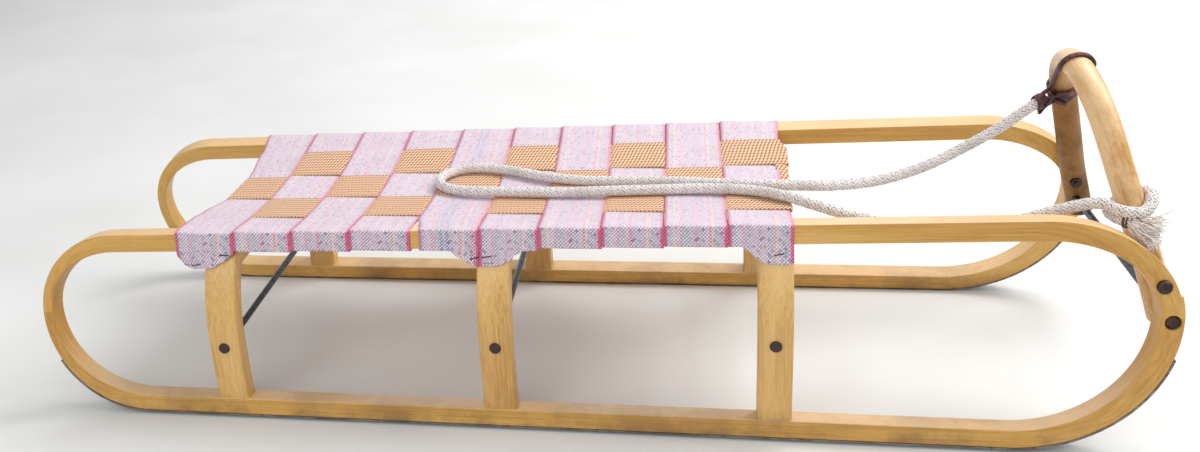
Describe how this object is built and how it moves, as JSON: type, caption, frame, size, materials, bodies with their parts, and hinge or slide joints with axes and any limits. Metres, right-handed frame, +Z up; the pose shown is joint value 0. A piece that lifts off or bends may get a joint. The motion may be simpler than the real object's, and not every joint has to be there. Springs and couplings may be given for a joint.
{
  "type": "wooden sled",
  "caption": "Wooden sled with bent-wood runner loops, arches with steel tie rods, a woven webbing seat, a horn bow at the front and a pull rope.",
  "frame": {"origin": "middle of the sled's length and width, at ground level", "axes": "+X forward to the horn bow, +Y to the sled's left, +Z up from the ground"},
  "size_m": [1.2079, 0.3774, 0.3677],
  "materials": {
    "bent_wood": "honey varnish, worn",
    "round_wood": "honey varnish, worn",
    "shoe_steel": "worn, lightly rusted",
    "rod_steel": "dull",
    "bolt_steel": "browned",
    "striped_webbing": "woven stripes",
    "tan_webbing": "coarse twill",
    "rope": "braided",
    "leather": "worn"
  },
  "bodies": {
    "root": {"loop_right": "bent_wood", "loop_left": "bent_wood", "arch_rear": "bent_wood", "arch_middle": "bent_wood", "arch_front": "bent_wood", "horn_bow": "round_wood", "shoe_right": "shoe_steel", "shoe_left": "shoe_steel", "tie_rod_rear": "rod_steel", "tie_rod_middle": "rod_steel", "tie_rod_front": "rod_steel", "cross_rod_front": "rod_steel", "bow_bolts_right": "bolt_steel", "bow_bolts_left": "bolt_steel", "cross_strap_01": "striped_webbing", "cross_strap_02": "striped_webbing", "cross_strap_03": "striped_webbing", "cross_strap_04": "striped_webbing", "cross_strap_05": "striped_webbing", "cross_strap_06": "striped_webbing", "cross_strap_07": "striped_webbing", "cross_strap_08": "striped_webbing", "cross_strap_09": "striped_webbing", "cross_strap_10": "striped_webbing", "long_strap_right": "tan_webbing", "long_strap_middle": "tan_webbing", "long_strap_left": "tan_webbing", "rope": "rope", "rope_knot": "rope", "thong": "leather"}
  },
  "joints": []
}
